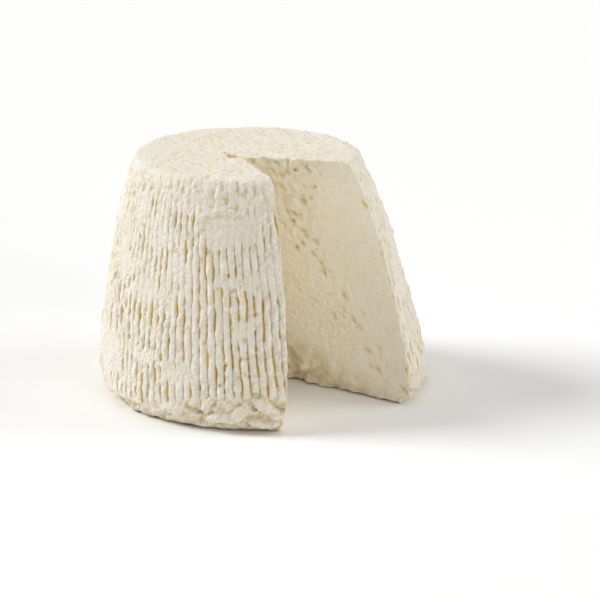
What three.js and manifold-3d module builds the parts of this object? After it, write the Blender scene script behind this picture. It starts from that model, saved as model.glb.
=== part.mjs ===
// A fresh cheese pressed in a basket: a leaning, slightly bulging truncated cone with one wedge cut out.
// Millimetres, +Z up. It stands on z = 0 with its widest circle centred over the origin, and the wedge
// is missing on the side of +X and -Y.

import * as THREE from 'three';
import { mergeVertices } from 'three/addons/utils/BufferGeometryUtils.js';
import Module from 'manifold-3d';

// Body
const BASE_RADIUS = 85; // the widest radius, just above the rounded foot
const TOP_RADIUS = 61.5; // where the wall turns into the shoulder
const HEIGHT = 124.5;
const WALL_BULGE = 3; // how far the middle of the wall swells past a straight cone
const FOOT_INSET = 7.5; // the foot's rounding, across and up
const FOOT_HEIGHT = 12;
const SHOULDER_INSET = 9.5; // the shoulder's rounding, across and down
const SHOULDER_DROP = 10;
const SHOULDER_FULLNESS = 0.8; // 0 is a straight chamfer, 1 a nearly square corner
const LEAN = new THREE.Vector2(-8, 2); // how far the top is pushed sideways from the widest circle

// Missing wedge: two knife cuts that meet near the axis, each turned a little between base and top
const APEX_AT_BASE = new THREE.Vector2(-6, 8);
const APEX_AT_TOP = new THREE.Vector2(-11.5, -9);
const FRONT_CUT_DEGREES = { base: -78.5, top: -70 };
const BACK_CUT_DEGREES = { base: -30.5, top: -14 };
const CUT_OVERRUN = 8; // how far the cutter runs past the base and the top

// Facets
const ROUND_SEGMENTS = 72;
const CURVE_STEPS = 6; // along each curved stretch of the outline
const CUT_SPANS = 4; // across each cut face
const CUT_STEPS = 12; // up each cut face

const WHEY_WHITE = 0xf1ebdd;

const wasm = await Module();
wasm.setup();

// The outline from the middle of the base to the middle of the top: flat base, rounded foot,
// swelling wall, rounded shoulder, flat top.
function outline() {
  const wallBottom = new THREE.Vector2(BASE_RADIUS, FOOT_HEIGHT);
  const wallTop = new THREE.Vector2(TOP_RADIUS, HEIGHT - SHOULDER_DROP);
  const swell = wallBottom.clone().lerp(wallTop, 0.5).add(new THREE.Vector2(2 * WALL_BULGE, 0));

  // the shoulder bends round the corner where the wall's own slope would reach the top
  const slope = wallTop.clone().sub(swell);
  const corner = wallTop.clone().addScaledVector(slope, SHOULDER_DROP / slope.y);
  const topEdge = new THREE.Vector2(TOP_RADIUS - SHOULDER_INSET, HEIGHT);
  const leaveWall = wallTop.clone().lerp(corner, SHOULDER_FULLNESS);
  const joinTop = topEdge.clone().lerp(corner, SHOULDER_FULLNESS);

  const path = new THREE.Path();
  path.moveTo(0, 0);
  path.lineTo(BASE_RADIUS - FOOT_INSET, 0);
  path.quadraticCurveTo(BASE_RADIUS, 0, wallBottom.x, wallBottom.y);
  path.quadraticCurveTo(swell.x, swell.y, wallTop.x, wallTop.y);
  path.bezierCurveTo(leaveWall.x, leaveWall.y, joinTop.x, joinTop.y, topEdge.x, topEdge.y);
  path.lineTo(0, HEIGHT);
  return path.getPoints(CURVE_STEPS);
}

// The whole moulded cheese before the wedge is taken. It leans about its widest circle.
function wholeCheese() {
  const rise = HEIGHT - FOOT_HEIGHT;
  const lean = new THREE.Matrix4().makeShear(0, 0, 0, 0, LEAN.x / rise, LEAN.y / rise);
  return new THREE.LatheGeometry(outline(), ROUND_SEGMENTS)
    .rotateX(Math.PI / 2)
    .translate(0, 0, -FOOT_HEIGHT)
    .applyMatrix4(lean)
    .translate(0, 0, FOOT_HEIGHT);
}

// A right-angled triangle with legs of 1, each leg in equal spans.
function unitTriangle() {
  const triangle = new THREE.Shape();
  triangle.moveTo(0, 0);
  for (let i = 1; i <= CUT_SPANS; i++) triangle.lineTo(i / CUT_SPANS, 0);
  for (let i = CUT_SPANS; i > 0; i--) triangle.lineTo(0, i / CUT_SPANS);
  return triangle;
}

// From the apex to the far end of a cut, well past the wall, at a share `rise` of the height.
function alongCut(degrees, rise) {
  const angle = THREE.MathUtils.degToRad(THREE.MathUtils.lerp(degrees.base, degrees.top, rise));
  return new THREE.Vector2(Math.cos(angle), Math.sin(angle)).multiplyScalar(2 * BASE_RADIUS);
}

// The wedge as a solid: the unit triangle is extruded, then at each height its two legs are laid
// along the front cut and the back cut.
function wedge() {
  const solid = new THREE.ExtrudeGeometry(unitTriangle(), { depth: 1, steps: CUT_STEPS, bevelEnabled: false });
  const place = solid.getAttribute('position');
  for (let i = 0; i < place.count; i++) {
    const z = THREE.MathUtils.lerp(-CUT_OVERRUN, HEIGHT + CUT_OVERRUN, place.getZ(i));
    const rise = z / HEIGHT;
    const point = APEX_AT_BASE.clone().lerp(APEX_AT_TOP, rise);
    point.addScaledVector(alongCut(FRONT_CUT_DEGREES, rise), place.getX(i));
    point.addScaledVector(alongCut(BACK_CUT_DEGREES, rise), place.getY(i));
    place.setXYZ(i, point.x, point.y, z);
  }
  return solid;
}

function toManifold(geometry) {
  const bare = geometry.clone();
  bare.deleteAttribute('normal');
  bare.deleteAttribute('uv');
  const merged = mergeVertices(bare, 1e-4);
  return new wasm.Manifold(new wasm.Mesh({
    numProp: 3,
    vertProperties: Float32Array.from(merged.getAttribute('position').array),
    triVerts: Uint32Array.from(merged.getIndex().array),
  }));
}

function toGeometry(solid) {
  const mesh = solid.getMesh();
  const geometry = new THREE.BufferGeometry();
  geometry.setAttribute('position', new THREE.BufferAttribute(mesh.vertProperties, 3));
  geometry.setIndex(new THREE.BufferAttribute(mesh.triVerts, 1));
  geometry.computeVertexNormals();
  return geometry;
}

const cheese = new THREE.Mesh(
  toGeometry(toManifold(wholeCheese()).subtract(toManifold(wedge()))),
  new THREE.MeshStandardMaterial({ color: WHEY_WHITE, roughness: 0.6, metalness: 0 }),
);
cheese.name = 'cheese_wheel';

const model = new THREE.Group();
model.add(cheese);

export default model;
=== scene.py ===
"""A fresh cheese pressed in a basket, with one wedge cut out of it: its looks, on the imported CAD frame.

Two closed meshes are made, the whole moulded cheese with its ribs, shoulder and foot, and the wedge with
its knife-dragged faces. The wedge is then cut from the cheese. Mesh work is in millimetres, +Z up.
"""
import itertools
import math

import bpy
import numpy as np
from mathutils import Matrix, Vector


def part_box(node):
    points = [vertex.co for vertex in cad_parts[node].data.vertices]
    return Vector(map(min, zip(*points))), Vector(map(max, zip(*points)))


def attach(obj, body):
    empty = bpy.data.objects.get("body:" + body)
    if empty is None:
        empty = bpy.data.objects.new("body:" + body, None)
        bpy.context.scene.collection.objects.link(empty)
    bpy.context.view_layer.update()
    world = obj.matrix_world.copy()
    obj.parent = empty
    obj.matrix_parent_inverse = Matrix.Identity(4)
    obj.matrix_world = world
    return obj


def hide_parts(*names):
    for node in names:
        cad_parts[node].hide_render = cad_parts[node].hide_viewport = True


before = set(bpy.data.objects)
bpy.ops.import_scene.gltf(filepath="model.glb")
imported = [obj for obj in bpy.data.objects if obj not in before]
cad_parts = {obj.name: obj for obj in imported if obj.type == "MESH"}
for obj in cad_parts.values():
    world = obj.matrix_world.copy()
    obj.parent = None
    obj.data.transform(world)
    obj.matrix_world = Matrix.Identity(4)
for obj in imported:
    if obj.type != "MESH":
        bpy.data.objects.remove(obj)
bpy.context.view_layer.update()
NODE = "cheese_wheel"
MM = 1000.0

# ---------------------------------------------------------------- sizes, from the frame and in millimetres
# the smooth shape, with the CAD's sizes but a fuller shoulder
low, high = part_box(NODE)
HEIGHT = (high.z - low.z) * MM
BASE_RADIUS = (high.y - low.y) / 2 * MM
TOP_RADIUS = 61.5
WALL_BULGE = 3.0
FOOT_INSET, FOOT_HEIGHT = 7.5, 12.0
SHOULDER_INSET, SHOULDER_DROP, SHOULDER_FULLNESS = 9.5, 10.0, 0.97
LEAN = np.array([-8.0, 2.0])  # how far the top is sideways from the widest circle
# the notch's inner edge and the headings of its two cuts, each at the base and at the top
APEX = np.array([[-6.0, 8.0], [-11.5, -9.0]])
FRONT_CUT = np.radians([-78.5, -70.0])
BACK_CUT = np.radians([-30.5, -14.0])
# the knife's overcut past the apex, on the top: distance along it and half its width
CRACK = ((1.0, 1.0), (3.0, 1.2), (5.0, 2.2), (7.0, 2.3), (9.0, 1.0), (11.0, 0.8), (14.0, 0.3))
CRACK_HEADING, CRACK_DEPTH = math.radians(128), 16.0

FRONT_SIDE, BACK_SIDE = 1, 2  # numbers for the faces of the cut. The skin's faces have 0

RIBS = 120
RIB_STEPS = (0.0, 0.075, 0.26, 0.5, 0.74, 0.925)  # columns across one rib, slit to slit
ROW = 1.15  # spacing of the rows up the wall
CUT_GRID = 1.2  # spacing on the cut faces
CUT_OVERRUN = 8.0  # how far the wedge runs past the top and the base


# ---------------------------------------------------------------- random fields
def hashed(ix, iy, iz, seed):
    """A random 32-bit number for each whole-number point."""
    ix, iy, iz = (np.asarray(i).astype(np.int64).astype(np.uint32) for i in (ix, iy, iz))
    h = ix * np.uint32(0x9E3779B1) ^ iy * np.uint32(0x85EBCA77) ^ iz * np.uint32(0xC2B2AE3D)
    h = h ^ np.uint32(seed * 0x27D4EB2F & 0xFFFFFFFF)
    for shift, factor in ((15, 0x2C1B3C6D), (12, 0x297A2D39)):
        h = (h ^ (h >> np.uint32(shift))) * np.uint32(factor)
    return h ^ (h >> np.uint32(15))


def share(h, part=0):
    """Ten bits of a random number, as a share from 0 to 1."""
    return ((h >> np.uint32(10 * part)) & np.uint32(1023)) / 1023.0


def smooth(t):
    """Eases in and out of a share from 0 to 1."""
    return t * t * (3 - 2 * t)


def step(start, end, value):
    """0 before start, 1 past end, and smooth between them."""
    return smooth(np.clip((value - start) / (end - start), 0, 1))


def bump(distance, radius):
    """1 at no distance, fading to 0 over about the radius."""
    return np.exp(-((distance / radius) ** 2))


def noise(points, size, seed):
    """Gradient noise from about -1 to 1. size is the grain in mm, one number or one for each axis."""
    q = points / size
    cell = np.floor(q)
    part = q - cell
    ease = smooth(part)
    total = np.zeros(len(q))
    for corner in itertools.product((0, 1), repeat=3):
        h = hashed(*(cell + corner).T, seed)
        pull = sum((share(h, axis) * 2 - 1) * (part[:, axis] - corner[axis]) for axis in range(3))
        weight = np.prod([ease[:, a] if corner[a] else 1 - ease[:, a] for a in range(3)], axis=0)
        total += pull * weight
    return total * 1.7


def layered(points, size, seed, layers=3):
    """Noise with finer grains added, each half as large and half as strong."""
    return sum(noise(points, np.asarray(size) / 2**k, seed + k) / 2**k for k in range(layers))


def cells(points, size, seed):
    """How far off the nearest of points scattered about size apart is, in mm, and that point's own share."""
    q = points / size
    home = np.floor(q)
    nearest = np.full(len(q), 9.0)
    tag = np.zeros(len(q))
    for way in itertools.product((-1, 0, 1), repeat=3):
        cell = home + way
        h = hashed(*cell.T, seed)
        spot = cell + np.stack([share(h, axis) for axis in range(3)], 1)
        away = np.linalg.norm(q - spot, axis=1)
        closer = away < nearest
        nearest[closer] = away[closer]
        tag[closer] = share(hashed(*cell[closer].T, seed + 7))
    return nearest * np.mean(size), tag


def along(line, place, size, seed):
    """Noise from 0 to 1 along each numbered line on its own."""
    q = place / size
    cell = np.floor(q)
    a, b = (share(hashed(line, cell + k, 0 * line, seed)) for k in (0, 1))
    return a + (b - a) * smooth(q - cell)


# ---------------------------------------------------------------- the outline
def curve(points, count):
    """Points along a Bezier curve."""
    t = np.linspace(0, 1, count)[:, None]
    points = [np.array(p, float) for p in points]
    while len(points) > 1:
        points = [a + (b - a) * t for a, b in zip(points, points[1:])]
    return points[0]


def resampled(path, spacing):
    """The path at about even spacing, ends kept."""
    length = np.concatenate([[0], np.cumsum(np.linalg.norm(np.diff(path, axis=0), axis=1))])
    at = np.linspace(0, length[-1], round(length[-1] / spacing) + 1)
    return np.stack([np.interp(at, length, path[:, k]) for k in (0, 1)], 1)


def outline():
    """Radius and height, from the rim of the flat base up to the rim of the flat top."""
    wall_low = np.array([BASE_RADIUS, FOOT_HEIGHT])
    wall_high = np.array([TOP_RADIUS, HEIGHT - SHOULDER_DROP])
    swell = (wall_low + wall_high) / 2 + (2 * WALL_BULGE, 0)
    slope = wall_high - swell
    corner = wall_high + slope * SHOULDER_DROP / slope[1]
    top_rim = np.array([TOP_RADIUS - SHOULDER_INSET, HEIGHT])
    leave_wall = wall_high + (corner - wall_high) * SHOULDER_FULLNESS
    join_top = top_rim + (corner - top_rim) * SHOULDER_FULLNESS
    foot = curve([(BASE_RADIUS - FOOT_INSET, 0), (BASE_RADIUS, 0), wall_low], 40)
    wall = curve([wall_low, swell, wall_high], 80)
    shoulder = curve([wall_high, leave_wall, join_top, top_rim], 40)
    return resampled(np.vstack([foot, wall[1:], shoulder[1:]]), ROW)


def middle(z):
    """The middle of the leaning cheese at each height."""
    return ((z - FOOT_HEIGHT) / (HEIGHT - FOOT_HEIGHT))[:, None] * LEAN


# ---------------------------------------------------------------- the relief on the moulded skin
# smooth smears where curd was wiped over the ribs: heading in degrees, height, half width, half height, rim
SMEARS = (
    (-99, 101, 16, 9, 1.0), (-119, 29, 10, 6, 0.4), (-134, 33, 7, 5, 0.3), (-160, 27, 16, 14, 0.2),
    (-93, 74, 6, 3, 0.4), (-15, 60, 9, 12, 0.3), (60, 95, 13, 7, 0.4), (105, 35, 12, 7, 0.3),
    (150, 70, 9, 6, 0.3), (20, 30, 10, 8, 0.3), (190, 100, 12, 9, 0.3),
)
HOOPS = (46.0, 75.0)  # heights where the basket's rings break the slits
RIB_FOOT, RIB_TOP = 17.5, 116.0  # heights where the ribs start and end
LEFT_FOOT_DROP = 9.0  # how much further down the ribs start on the left
PATCH_COVER = 0.7  # how far the wiped patches fill the ribs
SMEAR_RISE, RIM_RISE = 0.2, 0.9  # how far the smears and their rims stand out
HOLLOW_SHADE = 0.38  # the strongest painted shade that a hollow gets for lying below its neighbours


def past(heading, degrees):
    """How far each heading is past another one, which is in degrees. From -pi to pi."""
    return (heading - math.radians(degrees) + math.pi) % (2 * math.pi) - math.pi


def smears(heading, radius, place):
    """1 inside the smooth smears, 0 outside, with ragged borders. Then 1 along their raised rims."""
    inside, rim = np.zeros(len(place)), np.zeros(len(place))
    ragged = 0.6 * noise(place, 8, 21) + 0.45 * noise(place, 3, 22)
    for degrees, z, wide, tall, rim_height in SMEARS:
        across = past(heading, degrees) * radius / wide
        up = (place[:, 2] - z) / tall
        away = across**2 + up**2
        inside = np.maximum(inside, 1 - step(0.75, 1.15, away + ragged))
        upper_left = step(-0.4, 0.7, up - across)
        rim = np.maximum(rim, rim_height * upper_left * bump(away + 0.5 * ragged - 0.85, 0.25))
    return inside, rim


def patches(place):
    """1 where loose curd was wiped over the slits, which happens more in the upper half."""
    upper = step(42, 85, place[:, 2])
    level = 0.40 - 0.42 * upper
    return step(level, level + 0.16, noise(place, (11, 11, 15), 43) + 0.45 * noise(place, 4.5, 44))


def foot_line(place):
    """The height where the ribs start, which is lower on the left."""
    left = step(31.75, 65.5, -place[:, 0]) * step(-10, 30, -place[:, 1])
    return RIB_FOOT + 4 * noise(place, (18, 18, 1000), 31) - LEFT_FOOT_DROP * left


def rib_strength(place, smear):
    """How well the ribs formed, from 0 to about 1: less where curd was wiped over them and on the left."""
    z = place[:, 2]
    foot = foot_line(place)
    top = RIB_TOP + 5 * noise(place, (30, 30, 1000), 32)
    formed = step(foot - 3, foot + 3, z) * (1 - step(top - 9, top + 2, z)) * (1 - 0.85 * smear)
    formed = formed * (1 - 0.3 * step(50, 100, z)) * np.clip(0.95 + 0.6 * noise(place, 12, 46), 0.4, 1.1)
    return formed * (1 - 0.35 * bump(place[:, 0] + 80, 38) * step(-60, 20, -place[:, 1]))


def open_slits(place, line, formed, cover):
    """1 where the slit between two ribs is open, 0 where curd closes it."""
    z = place[:, 2]
    hoop = sum(bump(z - h - 2.5 * noise(place, (26, 26, 1000), 34), 2.0) for h in HOOPS)
    long, short, dots = along(line, z, 10, 35), along(line, z, 4.5, 36), along(line, z, 2.3, 41)
    chance = 0.42 * long + 0.26 * short + 0.32 * dots
    shut = 0.42 + 0.16 * noise(place, 22, 37) + 0.22 * hoop + 0.08 * step(60, 110, z)
    return step(shut, shut + 0.1, chance) * step(0.3, 0.65, formed) * (1 - 0.9 * step(0.1, 0.4, cover))


def rib_relief(skin, cover):
    """Cords of curd squeezed between the basket's bars, with narrow slits that open and close."""
    place, z, line = skin["place"], skin["place"][:, 2], skin["line"]
    across = skin["offset"] * 2 * math.pi * skin["radius"] / RIBS
    smear, rim = smears(skin["heading"], skin["radius"], place)
    smear = np.maximum(smear, PATCH_COVER * patches(place))
    formed = rib_strength(place, smear)
    slit = open_slits(place, line, formed, cover)
    width = 0.22 + 0.2 * along(line, z, 4, 38)
    strong = 0.35 + 0.65 * along(line, z, 8, 39)
    groove = bump(across, width) * (0.2 + 1.35 * slit * strong)
    side = line + (skin["offset"] > 0)
    crown = np.abs(np.sin(math.pi * skin["offset"])) ** 0.33
    standing = step(0.28, 0.5, along(side, z, 5, 40)) * (0.5 + 0.7 * along(side, z, 8, 45))
    knobbly = 0.75 * along(side, z, 2.4, 42)
    height = formed * (crown * (0.2 + 0.8 * standing + knobbly) - 0.65 - groove)
    # whey stain in the slits, partly a painted glow of light scattered through the curd, and a faint tan
    # tint along every valley
    stain_and_painted_light = step(0.1, 0.5, formed) * bump(across, width * 1.35) * (0.1 + 0.9 * slit * (0.6 + 0.4 * strong))
    return height + SMEAR_RISE * smear + RIM_RISE * rim, stain_and_painted_light, smear


def crumbs(place, strength):
    """Small rounded grains of curd standing on the surface."""
    away, tag = cells(place * (1, 1, 0.75), 3.8, 51)
    small, small_tag = cells(place, 2.3, 52)
    large = np.sqrt(np.clip(1 - (away / 1.8) ** 2, 0, 1)) * (tag > 0.62)
    fine = np.sqrt(np.clip(1 - (small / 1.1) ** 2, 0, 1)) * (small_tag > 0.5)
    return strength * np.maximum(0.85 * large, 0.45 * fine)


def pits(place, chance, seed, size, radius, depth):
    """Small holes, and 1 in the middle of each. chance is the share of scattered points that have one."""
    away, tag = cells(place, size, seed)
    hole = bump(away, radius) * step(1 - chance, 1 - chance + 0.05, tag)
    return depth * hole, hole


# the petals of the folds in the foot, the curled one first: heading in degrees, height, half length,
# half width, tilt in degrees, rise
PETALS = (
    (-97.5, 11, 8.0, 3.6, 40, 3.2), (-88, 14.0, 9.0, 3.6, -36, 3.8), (-90, 6.2, 9.5, 2.8, -10, 3.4),
    (-105, 8, 7.0, 3.0, 8, 2.6), (-109, 13.5, 5.0, 3.0, 60, 2.2), (-121, 10, 9.0, 3.2, 8, 2.4),
)


def petal_relief(skin):
    """Long rounded petals of folded curd in the foot, then 1 inside them and 1 in the creases round them."""
    rise_here, inside, crease = (np.zeros(len(skin["place"])) for _ in range(3))
    ragged = 0.55 * noise(skin["place"], 6, 68) + 0.5 * noise(skin["place"], 3, 69)
    for degrees, z, long, wide, tilt, rise in PETALS:
        off = past(skin["heading"], degrees) * skin["radius"]
        up, turn = skin["place"][:, 2] - z, math.radians(tilt)
        lengthwise = (off * math.cos(turn) + up * math.sin(turn)) / long
        across = (up * math.cos(turn) - off * math.sin(turn)) / wide
        near = lengthwise**2 + across**2 + ragged
        leaning = rise * (0.8 - 0.35 * np.clip(across, -1, 1) + 0.5 * ragged)
        rise_here = np.maximum(rise_here, leaning * np.sqrt(np.clip(1 - near, 0, 1)))
        inside = np.maximum(inside, 1 - step(0.7, 1.3, near))
        crease = np.maximum(crease, bump(near - 1.15, 0.3))
    return rise_here, inside, crease * (1 - np.clip(rise_here, 0, 1))


def foot_relief(skin):
    """The folded, lumpy lip of curd along the foot, below the ribs, with painted shade under it, in its
    tears and in the creases round the petals.
    """
    place, z = skin["place"], skin["place"][:, 2]
    edge = foot_line(place)
    foot = 1 - step(edge - 5, edge + 1, z)
    bent = place + 2.5 * np.stack([noise(place, 12, 60 + k) for k in range(3)], 1)
    large, fine = noise(bent, (10, 10, 7), 63), noise(bent, 3.4, 64)
    folds = 1.7 * np.clip(1 - 2.0 * np.abs(noise(bent, (12, 12, 6), 65)), 0, 1)
    torn = 1.8 * bump(noise(bent, (8, 8, 5), 66), 0.11) * step(-0.1, 0.35, noise(place, 9, 67))
    lumps = 1.9 * large + folds + 0.6 * fine - torn
    settled = 0.35 + 0.65 * step(0, 6, z)
    # painted shade and a painted warm reflection, darker towards the bottom of the foot
    under = 0.1 + 0.35 * (1 - step(0, 8, z))
    petals, inside, crease = petal_relief(skin)
    brushed = 0.6 * noise(bent, (3.2, 3.2, 1.6), 79)
    folded = settled * foot * (lumps * (1 - 0.6 * inside) + brushed) + petals - foot * (1.2 + 0.4 * crease)
    # the second value is painted shade under the lip, in its tears and in the creases round the petals
    return folded, foot * np.clip(under + 0.45 * torn * (1 - inside) + 0.6 * crease, 0, 1), foot


CREASE_SPACING = 3.6
CREASE_HEADINGS = (0.45, -0.75)
# where the knife's point broke the top
HOLE_PLACE, HOLE_SIZE, HOLE_DEPTH = np.array([-15.0, -6.5]), np.array([2.6, 5.0]), 2.0


def weave(place):
    """Short crossing creases pressed into the top by the woven cloth."""
    x = place[:, 0] + 0.8 * noise(place, 9, 71)
    y = place[:, 1] + 0.8 * noise(place, 9, 72)
    creases = np.zeros(len(place))
    for k, heading in enumerate(CREASE_HEADINGS):
        across = x * math.cos(heading) + y * math.sin(heading)
        lengthwise = y * math.cos(heading) - x * math.sin(heading)
        line = np.round(across / CREASE_SPACING)
        broken = step(0.4, 0.6, along(line, lengthwise, 4.5, 73 + k))
        creases = np.maximum(creases, broken * bump(across - line * CREASE_SPACING, 0.55))
    return creases


def top_relief(place):
    """The flat top: crossing creases, dents, grains and the broken hole past the notch."""
    creases = weave(place)
    from_hole = np.linalg.norm((place[:, :2] - HOLE_PLACE) / HOLE_SIZE, axis=1)
    broken = bump(from_hole + 0.35 * noise(place, 3.5, 78), 1.0)
    dents, tag = cells(place, 5.0, 75)
    dent = bump(dents, 1.2) * (tag > 0.65)
    height = 0.9 * noise(place, 30, 76) + 0.45 * noise(place, 8, 77) - 0.5 * creases - 0.5 * dent
    # the broken hole's stain is partly whey and partly painted shade
    return height - HOLE_DEPTH * broken, np.clip(0.12 * creases + 0.3 * dent + 0.55 * broken, 0, 1)


def skin_relief(skin):
    """How far the moulded skin stands out from its smooth outline, and how deep its whey stain and painted
    shade are.
    """
    place, z = skin["place"], skin["place"][:, 2]
    flat = step(0.55, 0.98, skin["normal"][:, 2])
    grainy = np.clip(0.6 + 1.0 * noise(place, 17, 87), 0.1, 1) * (1 - 0.6 * flat)
    loose = crumbs(place, grainy)
    ribs, rib_stain_and_glow, smear = rib_relief(skin, loose)
    foot, foot_painted_shade, footness = foot_relief(skin)
    top, top_stain_and_shade = top_relief(place)
    plain = 1 - 0.75 * smear
    lump = 1.0 * noise(place, 38, 81) + 0.45 * noise(place, 13, 82) + 0.45 * plain * noise(place, 5, 86)
    grain = 0.34 * plain * noise(place, (2.0, 2.0, 3), 83) + 0.2 * noise(place, 1.2, 84)
    hole, hole_stain = pits(place, 0.2 * plain * (1 - 0.7 * footness) * (1 - flat), 85, 5.0, 0.75, 1.4)
    dragged = 0.7 * plain * step(94, 106, z) * noise(place, (2.6, 2.6, 10), 88)
    side = lump + ribs + foot + dragged
    height = (1 - flat) * side + flat * top + grain + plain * loose - hole
    stains_and_painted_light = [(1 - flat) * rib_stain_and_glow, 0.5 * foot_painted_shade, flat * top_stain_and_shade, 0.9 * hole_stain]
    return height, np.maximum.reduce(stains_and_painted_light)


# ---------------------------------------------------------------- the whole cheese as a closed mesh
# the top has one column in so many, down to each radius, and the base is thinned like it
TOP_THINNING = ((37, 2), (20, 4), (0, 8))


def ring_rows():
    """Each ring from the middle of the base to the middle of the top: radius, height, normal, thinning."""
    side = outline()
    way = np.gradient(side, axis=0)
    normal = np.stack([way[:, 1], -way[:, 0]], 1) / np.linalg.norm(way, axis=1)[:, None]
    rim = side[0, 0]
    rows = [(radius, 0.0, (0, -1), 8) for radius in np.linspace(6, rim - 12, 8)]
    rows += [(rim - 7, 0.0, (0, -1), 4), (rim - 3, 0.0, (0, -1), 2)]
    rows += [(radius, z, across, 1) for (radius, z), across in zip(side, normal)]
    start = side[-1, 0]
    for end, thin in TOP_THINNING:
        count = round((start - end) / ROW)
        shares = (np.arange(count) + 1) / (count + 0.5)
        rows += [(radius, HEIGHT, (0, 1), thin) for radius in start + (end - start) * shares]
        start = end
    return rows


def joined(a, b):
    """Faces between two rings, the second above the first. One may have half as many vertices."""
    if len(a) == len(b):
        return np.stack([a, np.roll(a, -1), np.roll(b, -1), b], 1).tolist()
    many, few = (a, b) if len(a) > len(b) else (b, a)
    faces = []
    for j, start in enumerate(few):
        end = few[(j + 1) % len(few)]
        m = [many[(2 * j + k) % len(many)] for k in range(3)]
        faces += [[m[0], m[1], start], [m[1], m[2], end, start]]
    return faces if many is a else [face[::-1] for face in faces]


def wandering(rib, line, offset, radius, z):
    """The heading of each column, as the ribs waver and sway a little on their way up. From -pi to pi."""
    own = along(line, z, 5, 11) - 0.5
    beside = along((line + np.where(offset > 0, 1, -1)) % RIBS, z, 5, 11) - 0.5
    share_beside = np.abs(offset)
    waver = 0.17 * (own * (1 - share_beside) + beside * share_beside)
    heading = 2 * math.pi * (rib + waver) / RIBS
    round_place = np.stack([radius * np.cos(heading), radius * np.sin(heading), z], 1)
    sway = 0.22 * noise(round_place, 26, 12) * step(25, 50, radius)
    return past(heading + sway * 2 * math.pi / RIBS, 0)


def whole_cheese():
    """The moulded cheese before the wedge is cut, with its relief."""
    columns = np.concatenate([rib + np.array(RIB_STEPS) for rib in range(RIBS)])
    rows = ring_rows()
    ribs_of_rows = [columns[::thin] for *_, thin in rows]
    lengths = [len(ribs) for ribs in ribs_of_rows]
    rib = np.concatenate(ribs_of_rows)
    rings = np.split(np.arange(len(rib)), np.cumsum(lengths)[:-1])
    radius, z = (np.repeat([row[k] for row in rows], lengths) for k in (0, 1))
    facing = np.repeat([row[2] for row in rows], lengths, axis=0).astype(float)

    line = np.round(rib) % RIBS
    offset = rib - np.round(rib)
    heading = wandering(rib, line, offset, radius, z)
    outward = np.stack([np.cos(heading), np.sin(heading)], 1)
    place = np.column_stack([outward * radius[:, None] + middle(z), z])
    normal = np.column_stack([outward * facing[:, :1], facing[:, 1]])
    skin = dict(place=place, normal=normal, radius=radius, heading=heading, line=line, offset=offset)
    height, stain_and_painted_light = skin_relief(skin)
    place = place + normal * height[:, None]
    place[:, 2] = np.maximum(place[:, 2], 0)

    tips = np.array([[*middle(np.zeros(1))[0], 0], [*LEAN, HEIGHT]])
    faces = [face for a, b in zip(rings, rings[1:]) for face in joined(a, b)]
    base_tip, top_tip = len(place), len(place) + 1
    faces += [[b, a, base_tip] for a, b in zip(rings[0], np.roll(rings[0], -1))]
    faces += [[a, b, top_tip] for a, b in zip(rings[-1], np.roll(rings[-1], -1))]
    on_rows = np.repeat(ways_up(rows), lengths)
    up = np.append(on_rows, [-BASE_RADIUS, 2 * HEIGHT])  # the tips are well onto the base and the top
    return np.vstack([place, tips]), faces, np.append(stain_and_painted_light, [0, 0]), up, np.zeros(len(faces))


def ways_up(rows):
    """How far along the outline each row is from the rim of the base, in mm: below 0 on the base."""
    path = np.array([row[:2] for row in rows])
    length = np.concatenate([[0], np.cumsum(np.linalg.norm(np.diff(path, axis=0), axis=1))])
    return length - length[path[:, 1] == 0][-1]


# ---------------------------------------------------------------- the wedge that is cut away
# bands of scratches across the cut faces, lower further out: height at the apex, fall for each mm out,
# half width, distance from the apex where the band starts
SCRATCHES = ((130, 1.45, 9, 26), (82, 0.8, 6, 18))
CORE_LOW, CORE_HIGH, CORE_REACH = 72, 98, 30  # the crumbly zone near the apex: from, full from, out to
NOTCH_SWELL = 0.62  # how far the back face swells into the notch near the apex, for each mm out
NOTCH_STAIN_AND_SHADE = 0.42  # whey stain and painted shade at the apex and in the knife's overcut


def crumbly_zones(place, run):
    """From 0 to 1, how crumbly the core near the apex is, and how crumbly each place is in all."""
    z = place[:, 2]
    core = step(CORE_LOW, CORE_HIGH, z) * (1 - step(CORE_REACH, CORE_REACH + 16, run)) * step(0, 12, run)
    core = np.clip(core * (1.1 + 0.8 * noise(place, 11, 115)), 0, 1)
    scratched = sum(
        bump(z - high + fall * run, wide) * step(start, start + 10, run)
        for high, fall, wide, start in SCRATCHES
    )
    return core, np.clip(core + 1.1 * scratched + 0.5 * noise(place, 10, 105) - 0.2, 0, 1)


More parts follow.
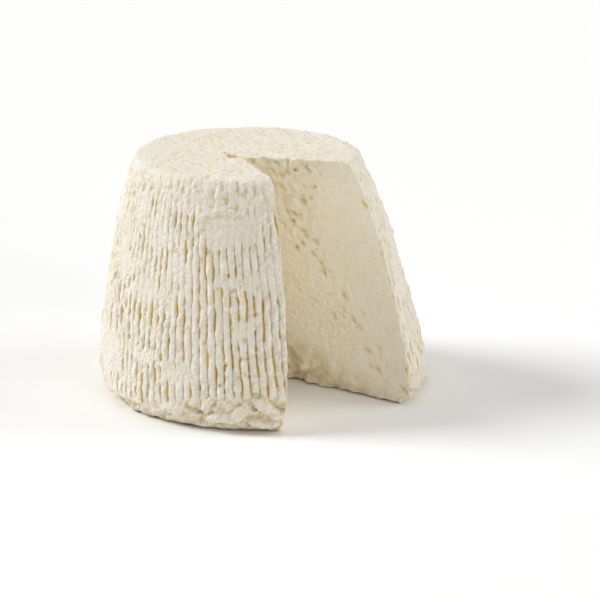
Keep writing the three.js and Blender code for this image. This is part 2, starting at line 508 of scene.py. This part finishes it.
def cut_relief(place, run, back):
    """How far a cut face is torn into the cheese, and its whey stain and painted shade.

    run is the distance from the apex, and back is 1 on the back cut's face and 0 on the front one's.
    """
    z = place[:, 2]
    drag = 0.2 * noise(place, (1.5, 1.5, 12), 101) + 0.16 * noise(place, (1.1, 1.1, 3.5), 102)
    waver = 0.6 * noise(place, 34, 103) + 0.25 * noise(place, 9, 110)
    core, crumbly = crumbly_zones(place, run)
    bent = place + 1.2 * np.stack([noise(place, 5, 111 + k) for k in range(3)], 1)
    slant = np.column_stack([(run - z) * 0.26, (run + z) * 0.71 + bent[:, 0] - place[:, 0], 50 * back])
    hole, hole_stain = pits(slant, 0.7 * crumbly, 106, 3.2, 0.8, 1.9)
    deep, deep_stain = pits(bent, 0.65 * core, 127, 4.0, 1.0, 2.1)
    small, small_stain = pits(bent, 0.4 * crumbly + 0.03, 112, 2.1, 0.5, 0.8)
    torn = (1 - step(18, 42, z + 0.4 * run)) * back + 0.4 * (1 - step(8, 22, z)) * (1 - back)
    ragged = torn * (4.5 + 4.0 * layered(place, 8, 108))
    crumb_away, crumb_tag = cells(bent, 3.0, 109)
    crumb = bump(crumb_away, 1.2) * (crumb_tag > 0.35)
    edge = step(HEIGHT - 5, HEIGHT, z) * (1 - step(30, 50, run))
    ragged = ragged - (1.5 * torn + 1.5 * core) * crumb + edge * (0.6 + 1.1 * noise(place, 3, 113))
    ragged = ragged + core * 0.9 * noise(bent, 3.6, 114)
    closed = back * (1 - step(3, 15, run)) * NOTCH_SWELL * run
    # 0.12 * torn is painted shade in the torn hollows low on the cuts
    stain_and_painted_light = np.maximum.reduce([0.4 * hole_stain, 0.8 * deep_stain, 0.35 * small_stain, 0.12 * torn])
    # whey stain and painted shade along the apex and the overcut's lips
    stain_and_painted_light = np.maximum(stain_and_painted_light, NOTCH_STAIN_AND_SHADE * (run < 1))
    return drag + waver + hole + deep + small + ragged - closed, stain_and_painted_light


def apex_at(z):
    """The notch's inner edge at each height."""
    return APEX[0] + (APEX[1] - APEX[0]) * (z / HEIGHT)


def crack_lips(z):
    """The two sides of the knife's overcut at a height: the front one outward, then the back one inward."""
    crack = np.array([math.cos(CRACK_HEADING), math.sin(CRACK_HEADING)])
    across = np.array([crack[1], -crack[0]])
    open_share = step(HEIGHT - CRACK_DEPTH, HEIGHT, np.array(min(z, HEIGHT)))
    middles = [apex_at(z) + crack * (0.2 + distance * open_share) for distance, _ in CRACK]
    spreads = [across * half_width * (0.2 + open_share) for _, half_width in CRACK]
    near = [point - spread for point, spread in zip(middles, spreads)]
    far = [point + spread for point, spread in zip(middles, spreads)]
    return near + far[::-1]


def cut_row(z, reach):
    """The wedge's points at a height, front cut first, and the way into the cheese from each."""
    front, back = (cut[0] + (cut[1] - cut[0]) * (z / HEIGHT) for cut in (FRONT_CUT, BACK_CUT))
    ahead = np.array([math.cos(front), math.sin(front)])
    behind = np.array([math.cos(back), math.sin(back)])
    front_points = apex_at(z) + ahead * reach[::-1, None]
    back_points = apex_at(z) + behind * reach[:, None]
    row = np.vstack([front_points, *crack_lips(z), back_points])
    still = np.zeros((2 * len(CRACK), 2))
    into_front = np.tile([ahead[1], -ahead[0]], (len(reach), 1))
    into_back = np.tile([-behind[1], behind[0]], (len(reach), 1))
    return np.column_stack([row, np.full(len(row), z)]), np.vstack([into_front, still, into_back])


def wedge():
    """The wedge as a closed mesh: two torn faces from the apex outward, past the wall, top and base."""
    reach = np.append(np.arange(CUT_GRID, BASE_RADIUS + 18, CUT_GRID), 2 * BASE_RADIUS)
    on_cheese = np.arange(-1, HEIGHT + 2.5, CUT_GRID)
    heights = np.concatenate([[-CUT_OVERRUN], on_cheese, [HEIGHT + CUT_OVERRUN]])
    place, push = (np.vstack(rows) for rows in zip(*(cut_row(z, reach) for z in heights)))
    lips = np.zeros(2 * len(CRACK))
    run = np.tile(np.concatenate([reach[::-1], lips, reach]), len(heights))
    back = np.tile(np.concatenate([0 * reach, lips, 0 * reach + 1]), len(heights))
    torn, stain_and_painted_light = cut_relief(place, run, back)
    loose = (run < reach[-2]) * step(0, 2.5, run)
    place[:, :2] += push * (torn * loose)[:, None]
    index = np.arange(len(place)).reshape(len(heights), -1)
    faces = [face[::-1] for a, b in zip(index, index[1:]) for face in joined(a, b)]
    sides = np.tile(np.repeat([FRONT_SIDE, BACK_SIDE], index.shape[1] // 2), len(heights) - 1)
    faces += [index[0].tolist(), index[-1][::-1].tolist()]
    return place, faces, stain_and_painted_light, 0 * stain_and_painted_light, np.append(sides, [FRONT_SIDE, FRONT_SIDE])


# ---------------------------------------------------------------- meshes
def write_values(mesh, name, numbers, domain="POINT"):
    """Stores a number at each vertex, or at each face."""
    layer = mesh.attributes.get(name) or mesh.attributes.new(name, "FLOAT", domain)
    layer.data.foreach_set("value", np.asarray(numbers, np.float32))


def read_values(mesh, name):
    """The numbers stored under a name, one for each vertex or face."""
    numbers = np.empty(len(mesh.attributes[name].data), np.float32)
    mesh.attributes[name].data.foreach_get("value", numbers)
    return numbers.astype(float)


def vertex_places(mesh):
    """Where each vertex is, in mm."""
    flat = np.empty(3 * len(mesh.vertices), np.float32)
    mesh.vertices.foreach_get("co", flat)
    return flat.reshape(-1, 3).astype(float) * MM


def mesh_object(name, place, faces, stain_and_painted_light, up, side):
    """An object from vertices in mm. Vertices have a stain, with painted shade and glow in it, and a way up,
    and faces a side of the cut.
    """
    mesh = bpy.data.meshes.new(name)
    mesh.from_pydata((place / MM).tolist(), [], faces)
    write_values(mesh, "stain_and_painted_light", stain_and_painted_light)
    write_values(mesh, "up", up)
    write_values(mesh, "side", side, "FACE")
    mesh.update()
    piece = bpy.data.objects.new(name, mesh)
    bpy.context.scene.collection.objects.link(piece)
    return piece


def cut_away(body, tool):
    """Takes the tool's shape out of the body's mesh. The tool is used up."""
    cut = body.modifiers.new("cut", "BOOLEAN")
    cut.operation, cut.solver, cut.object = "DIFFERENCE", "MANIFOLD", tool
    graph = bpy.context.evaluated_depsgraph_get()
    mesh = bpy.data.meshes.new_from_object(body.evaluated_get(graph))
    body.modifiers.clear()
    spent = body.data
    body.data = mesh
    bpy.data.meshes.remove(spent)
    bpy.data.objects.remove(tool)


class Net:
    """A mesh's edges, to average numbers over each vertex's neighbours."""

    def __init__(self, mesh):
        ends = np.empty(2 * len(mesh.edges), np.int32)
        mesh.edges.foreach_get("vertices", ends)
        self.ends = ends.reshape(-1, 2)
        self.count = len(mesh.vertices)
        self.degree = np.bincount(ends, minlength=self.count)

    def sums(self, numbers):
        """The sum of the numbers at each vertex's neighbours."""
        a, b = self.ends.T
        return np.bincount(a, numbers[b], self.count) + np.bincount(b, numbers[a], self.count)

    def average(self, numbers):
        """The mean of the numbers, or of the points, at each vertex's neighbours."""
        if numbers.ndim > 1:
            return np.stack([self.average(column) for column in numbers.T], 1)
        return self.sums(numbers) / self.degree


def face_corners(mesh):
    """The vertex at each corner of each face, and how many corners each face has."""
    corners = np.empty(len(mesh.loops), np.int32)
    mesh.loops.foreach_get("vertex_index", corners)
    sizes = np.empty(len(mesh.polygons), np.int32)
    mesh.polygons.foreach_get("loop_total", sizes)
    return corners, sizes


def filled_in(net, numbers, known, wanted):
    """The numbers with the wanted ones taken from known neighbours, and which are known now."""
    beside = net.sums(known.astype(float))
    fresh = wanted & ~known & (beside > 0)
    return np.where(fresh, net.sums(numbers * known) / np.maximum(beside, 1), numbers), known | fresh


def settle(mesh):
    """Softens the edge between skin and cut, works out the values at the vertices along it, and paints shade
    into the hollows.
    """
    corners, sizes = face_corners(mesh)
    cut = np.repeat(read_values(mesh, "side") > 0, sizes)
    count = len(mesh.vertices)
    paste = np.bincount(corners, cut, count) / np.bincount(corners, minlength=count)
    border = (paste > 0) & (paste < 1)
    net = Net(mesh)
    stain_and_painted_light, _ = filled_in(net, read_values(mesh, "stain_and_painted_light") * ~border, ~border, border)
    up, known = read_values(mesh, "up"), paste == 0
    for _ in range(6):
        up, known = filled_in(net, up, known, border)
    write_values(mesh, "up", up)
    place = vertex_places(mesh)
    place = np.where(border[:, None], 0.45 * place + 0.55 * net.average(place), place)
    mesh.vertices.foreach_set("co", (place / MM).astype(np.float32).ravel())
    mesh.update()
    soft = net.average(0.5 * paste + 0.5 * net.average(paste))
    write_values(mesh, "paste", soft)
    # painted shade in the hollows, in the tan and whey colours, less on the cut faces
    shallow = hollow_shade(mesh, net, place) * (1 - 0.75 * soft)
    write_values(mesh, "stain_and_painted_light", np.maximum(stain_and_painted_light, np.minimum(stain_and_painted_light + shallow, HOLLOW_SHADE)))


def hollow_shade(mesh, net, place):
    """From 0 to 1, how far each vertex lies below its neighbours, as painted shade in the hollows, weaker on
    the top.
    """
    normal = np.empty(3 * len(place), np.float32)
    mesh.vertex_normals.foreach_get("vector", normal)
    normal = normal.reshape(-1, 3)
    wide = place
    for _ in range(5):
        wide = net.average(wide)
    below = ((wide - place) * normal).sum(1)
    return np.clip(below / 0.32, 0, 1) * (0.62 - 0.42 * step(0.6, 0.95, normal[:, 2]))


# ---------------------------------------------------------------- the map the surface is baked through
MAP_SIDE = 372.0  # how many mm of surface the map is across
GAP_HEADING = math.radians(-50)  # a heading where the wall is cut away
WALL_START, WALL_HALF = 0.25, 3.1  # from the gap on: where the wall starts, and where its second strip does
WALL_RADIUS = 70.0  # how far from the axis the wall is taken to be, all the way up
BASE_SHRINK = 0.38  # the base's scale
# where each piece's corner, apex or middle lies on the map, in mm
STRIP_SPOT, SECOND_STRIP_SPOT = (4, 4), (4, 153)
FRONT_SPOT, BACK_SPOT = (217, 18), (217, 230)
TOP_SPOT, BASE_SPOT = (277, 306), (36, 336)


def cut_places(place, heading):
    """Height and distance from the apex of points on a cut face with the heading."""
    away = place[:, :2] - apex_at(place[:, 2:])
    return np.stack([place[:, 2], away @ (math.cos(heading), math.sin(heading))], 1)


def turn_from_gap(place):
    """How far round the cheese each point is from the heading in its gap, in radians."""
    off = place[:, :2] - middle(place[:, 2])
    return (np.arctan2(off[:, 1], off[:, 0]) - GAP_HEADING) % (2 * math.pi)


def unrolled(turn, up, start):
    """A strip of the wall laid flat, from a turn past the gap on."""
    return np.stack([(turn - start) * WALL_RADIUS, up], 1)


def add_bake_map(mesh):
    """Lays out the wall in two strips, the two cut faces, the top, and the base at a smaller scale."""
    corners, sizes = face_corners(mesh)
    face = np.repeat(np.arange(len(sizes)), sizes)
    place, up = vertex_places(mesh)[corners], read_values(mesh, "up")[corners]
    side = np.round(read_values(mesh, "side"))[face]
    centre = np.stack([np.bincount(face, column) / sizes for column in (*place.T, up)], 1)[face]
    wall_length = np.linalg.norm(np.diff(outline(), axis=0), axis=1).sum()
    turn = turn_from_gap(place)
    second = turn_from_gap(centre[:, :3]) > WALL_HALF
    flat_place = place[:, :2] - middle(place[:, 2])
    pieces = (
        (side == FRONT_SIDE, cut_places(place, FRONT_CUT.mean()) + FRONT_SPOT),
        (side == BACK_SIDE, cut_places(place, BACK_CUT.mean()) * (1, -1) + BACK_SPOT),
        (centre[:, 3] > wall_length + 0.01, flat_place + TOP_SPOT),
        (centre[:, 3] < -0.01, flat_place * (-BASE_SHRINK, BASE_SHRINK) + BASE_SPOT),
        (second, unrolled(turn, up, WALL_HALF) + SECOND_STRIP_SPOT),
        (~second, unrolled(turn, up, WALL_START) + STRIP_SPOT),
    )
    spots = np.select([piece[:, None] for piece, _ in pieces], [spot for _, spot in pieces])
    layer = mesh.uv_layers.new(name="OFBake", do_init=False)
    layer.uv.foreach_set("vector", (spots / MAP_SIDE).astype(np.float32).ravel())


def build_cheese():
    """The cut cheese as one closed mesh, with its material."""
    body = mesh_object("cheese_body", *whole_cheese())
    cut_away(body, mesh_object("wedge", *wedge()))
    settle(body.data)
    add_bake_map(body.data)
    body.data.shade_smooth()
    body.data.materials.clear()
    body.data.materials.append(cheese_material())
    return body


# ---------------------------------------------------------------- materials
SKIN_COLOURS = ((0.91, 0.87, 0.79, 1), (0.88, 0.82, 0.69, 1))
PASTE_COLOURS = ((0.93, 0.87, 0.75, 1), (0.90, 0.82, 0.64, 1))  # inside the cheese
SPECK_COLOUR = (0.84, 0.74, 0.52, 1)
TAN_COLOUR = (0.76, 0.62, 0.35, 1)  # where whey stained it a little, and painted shade in hollows, creases, the notch and under the foot
WHEY_AND_PAINTED_LIGHT_COLOUR = (0.88, 0.63, 0.17, 1)  # where whey dried, and the painted glow in the slits and painted shade at the notch


def shader_node(tree, kind, **sockets):
    """A node with its input values set by name."""
    node = tree.nodes.new(kind)
    for name, value in sockets.items():
        node.inputs[name.replace("_", " ")].default_value = value
    return node


def cheese_material():
    """Pale curd, stained by whey in its slits and pits, with painted shade in its hollows and under the foot
    and a painted glow in the slits, and with a fine grain that is smoother on the cuts.
    """
    material = bpy.data.materials.new("cheese")
    material.use_nodes = True
    tree = material.node_tree
    shader = tree.nodes["Principled BSDF"]
    place = tree.nodes.new("ShaderNodeTexCoord").outputs["Object"]
    paste = value_at(tree, "paste")
    mottle = noise_node(tree, place, 260, 3)
    tree.links.new(curd_colour(tree, place, paste, mottle), shader.inputs["Base Color"])
    tree.links.new(ramp(tree, mottle, 0.3, 0.7, 0.8, 0.6), shader.inputs["Roughness"])
    tree.links.new(curd_grain(tree, place, paste), shader.inputs["Normal"])
    shader.inputs["Specular IOR Level"].default_value = 0.3
    shader.inputs["Subsurface Weight"].default_value = 0.25
    shader.inputs["Subsurface Scale"].default_value = 0.0007
    shader.inputs["Subsurface Radius"].default_value = (1.0, 0.75, 0.4)
    return material


def curd_colour(tree, place, paste, mottle):
    """The skin's and the paste's colours, with specks, and with whey stain, painted shade and a painted glow
    where the mesh's stored values say.
    """
    stain_and_painted_light = value_at(tree, "stain_and_painted_light")
    broad = noise_node(tree, place, 45, 2)
    plain = blend(tree, paste, blend(tree, broad, *SKIN_COLOURS), blend(tree, broad, *PASTE_COLOURS))
    speckled = blend(tree, ramp(tree, mottle, 0.50, 0.75, 0.0, 0.3), plain, SPECK_COLOUR)
    # the stain values hold whey stains and painted light: painted shade in hollows, creases and under the
    # foot, and a painted glow in the slits
    tanned = blend(tree, ramp(tree, stain_and_painted_light, 0.0, 0.45, 0.0, 0.9), speckled, TAN_COLOUR)
    return blend(tree, ramp(tree, stain_and_painted_light, 0.36, 0.62, 0.0, 1.0), tanned, WHEY_AND_PAINTED_LIGHT_COLOUR)


def curd_grain(tree, place, paste):
    """The grain too fine for the mesh: rounded grains, then coarse and fine noise, weaker on the cuts."""
    relief = bump_node(tree, voronoi_node(tree, place, 620), 0.0009, 0.5, None)
    for scale, detail, distance, strength in ((480, 4, 0.0016, 0.8), (1050, 2, 0.0008, 0.7)):
        relief = bump_node(tree, noise_node(tree, place, scale, detail), distance, strength, relief)
        tree.links.new(ramp(tree, paste, 0.0, 1.0, strength, 0.35), relief.node.inputs["Strength"])
    return relief


def value_at(tree, name):
    """The number the mesh stores under a name."""
    node = tree.nodes.new("ShaderNodeAttribute")
    node.attribute_name = name
    return node.outputs["Fac"]


def noise_node(tree, place, scale, detail):
    """Soft noise from 0 to 1. The scale is in waves per metre."""
    node = shader_node(tree, "ShaderNodeTexNoise", Scale=scale, Detail=detail)
    tree.links.new(place, node.inputs["Vector"])
    return node.outputs["Fac"]


def voronoi_node(tree, place, scale):
    """How far off the middle of the nearest grain is."""
    node = shader_node(tree, "ShaderNodeTexVoronoi", Scale=scale)
    node.feature = "SMOOTH_F1"
    tree.links.new(place, node.inputs["Vector"])
    return node.outputs["Distance"]


def blend(tree, factor, first, second):
    """A colour between two others, each a colour or a socket."""
    node = tree.nodes.new("ShaderNodeMix")
    node.data_type = "RGBA"
    tree.links.new(factor, node.inputs["Factor"])
    for name, value in (("A", first), ("B", second)):
        socket = next(s for s in node.inputs if s.name == name and s.type == "RGBA")
        if isinstance(value, tuple):
            socket.default_value = value
        else:
            tree.links.new(value, socket)
    return next(s for s in node.outputs if s.type == "RGBA")


def ramp(tree, value, start, end, first, last):
    """The first number up to start, the last one from end on, and evenly between."""
    node = shader_node(tree, "ShaderNodeMapRange", From_Min=start, From_Max=end, To_Min=first, To_Max=last)
    tree.links.new(value, node.inputs["Value"])
    return node.outputs["Result"]


def bump_node(tree, height, distance, strength, under):
    """A relief over the one under it, if there is one. The distance is in metres."""
    node = shader_node(tree, "ShaderNodeBump", Distance=distance, Strength=strength)
    tree.links.new(height, node.inputs["Height"])
    if under:
        tree.links.new(under, node.inputs["Normal"])
    return node.outputs["Normal"]


def floor_material():
    """Plain matt white."""
    material = bpy.data.materials.new("floor")
    material.use_nodes = True
    shader = material.node_tree.nodes["Principled BSDF"]
    shader.inputs["Base Color"].default_value = (0.96, 0.96, 0.96, 1)
    shader.inputs["Roughness"].default_value = 0.8
    return material


# ---------------------------------------------------------------- camera, floor and light
CAMERA_PLACE = (0.0194, -1.4002, 0.4643)
CAMERA_PITCH = 16.67  # degrees below level
CAMERA_LENS = 167.6
FLOOR_HALF = 12.0  # in metres, like the camera's place
SKY_STRENGTH = 0.19
# name, where it comes from as a heading and a rise in degrees, its spread in degrees, strength, colour
LIGHTS = (
    ("left", 171, 35, 28, 2.38, (1, 1, 1)),
    ("right", 5, 30, 35, 0.95, (1, 1, 1)),
    ("front_right", -50, 18, 32, 0.66, (1, 0.96, 0.87)),
    ("overhead", 90, 80, 60, 0.7, (1, 1, 1)),
)


def add_camera():
    """The view the cheese is rendered from."""
    camera = bpy.data.objects.new("camera", bpy.data.cameras.new("camera"))
    camera.data.lens = CAMERA_LENS
    camera.data.clip_end = 100
    camera.location = CAMERA_PLACE
    camera.rotation_euler = (math.radians(90 - CAMERA_PITCH), 0, 0)
    bpy.context.scene.collection.objects.link(camera)
    bpy.context.scene.camera = camera


def add_floor():
    """A large flat floor at the height the cheese stands on."""
    corners = [(x * FLOOR_HALF, y * FLOOR_HALF, 0) for x, y in ((-1, -1), (1, -1), (1, 1), (-1, 1))]
    mesh = bpy.data.meshes.new("floor")
    mesh.from_pydata(corners, [], [(0, 1, 2, 3)])
    mesh.materials.append(floor_material())
    floor = bpy.data.objects.new("floor", mesh)
    bpy.context.scene.collection.objects.link(floor)


def add_light(name, heading, rise, spread, strength, colour):
    """An even light from one side of the sky. Heading and rise are where it comes from, in degrees."""
    lamp = bpy.data.lights.new(name, "SUN")
    lamp.color = colour
    lamp.energy, lamp.angle = strength, math.radians(spread)
    light = bpy.data.objects.new(name, lamp)
    turn, tilt = math.radians(heading), math.radians(rise)
    toward = Vector((math.cos(turn) * math.cos(tilt), math.sin(turn) * math.cos(tilt), math.sin(tilt)))
    light.location = toward * 2
    light.rotation_euler = toward.to_track_quat("Z", "Y").to_euler()
    bpy.context.scene.collection.objects.link(light)


def add_lights():
    """An even white sky, and the lights."""
    world = bpy.data.worlds.new("studio")
    world.use_nodes = True
    world.node_tree.nodes["Background"].inputs["Color"].default_value = (1, 1, 1, 1)
    world.node_tree.nodes["Background"].inputs["Strength"].default_value = SKY_STRENGTH
    bpy.context.scene.world = world
    for light in LIGHTS:
        add_light(*light)
    bpy.context.scene.view_settings.view_transform = "Standard"


# ---------------------------------------------------------------- the scene
add_camera()
add_floor()
add_lights()
cheese = build_cheese()
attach(cheese, "root")
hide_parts(NODE)
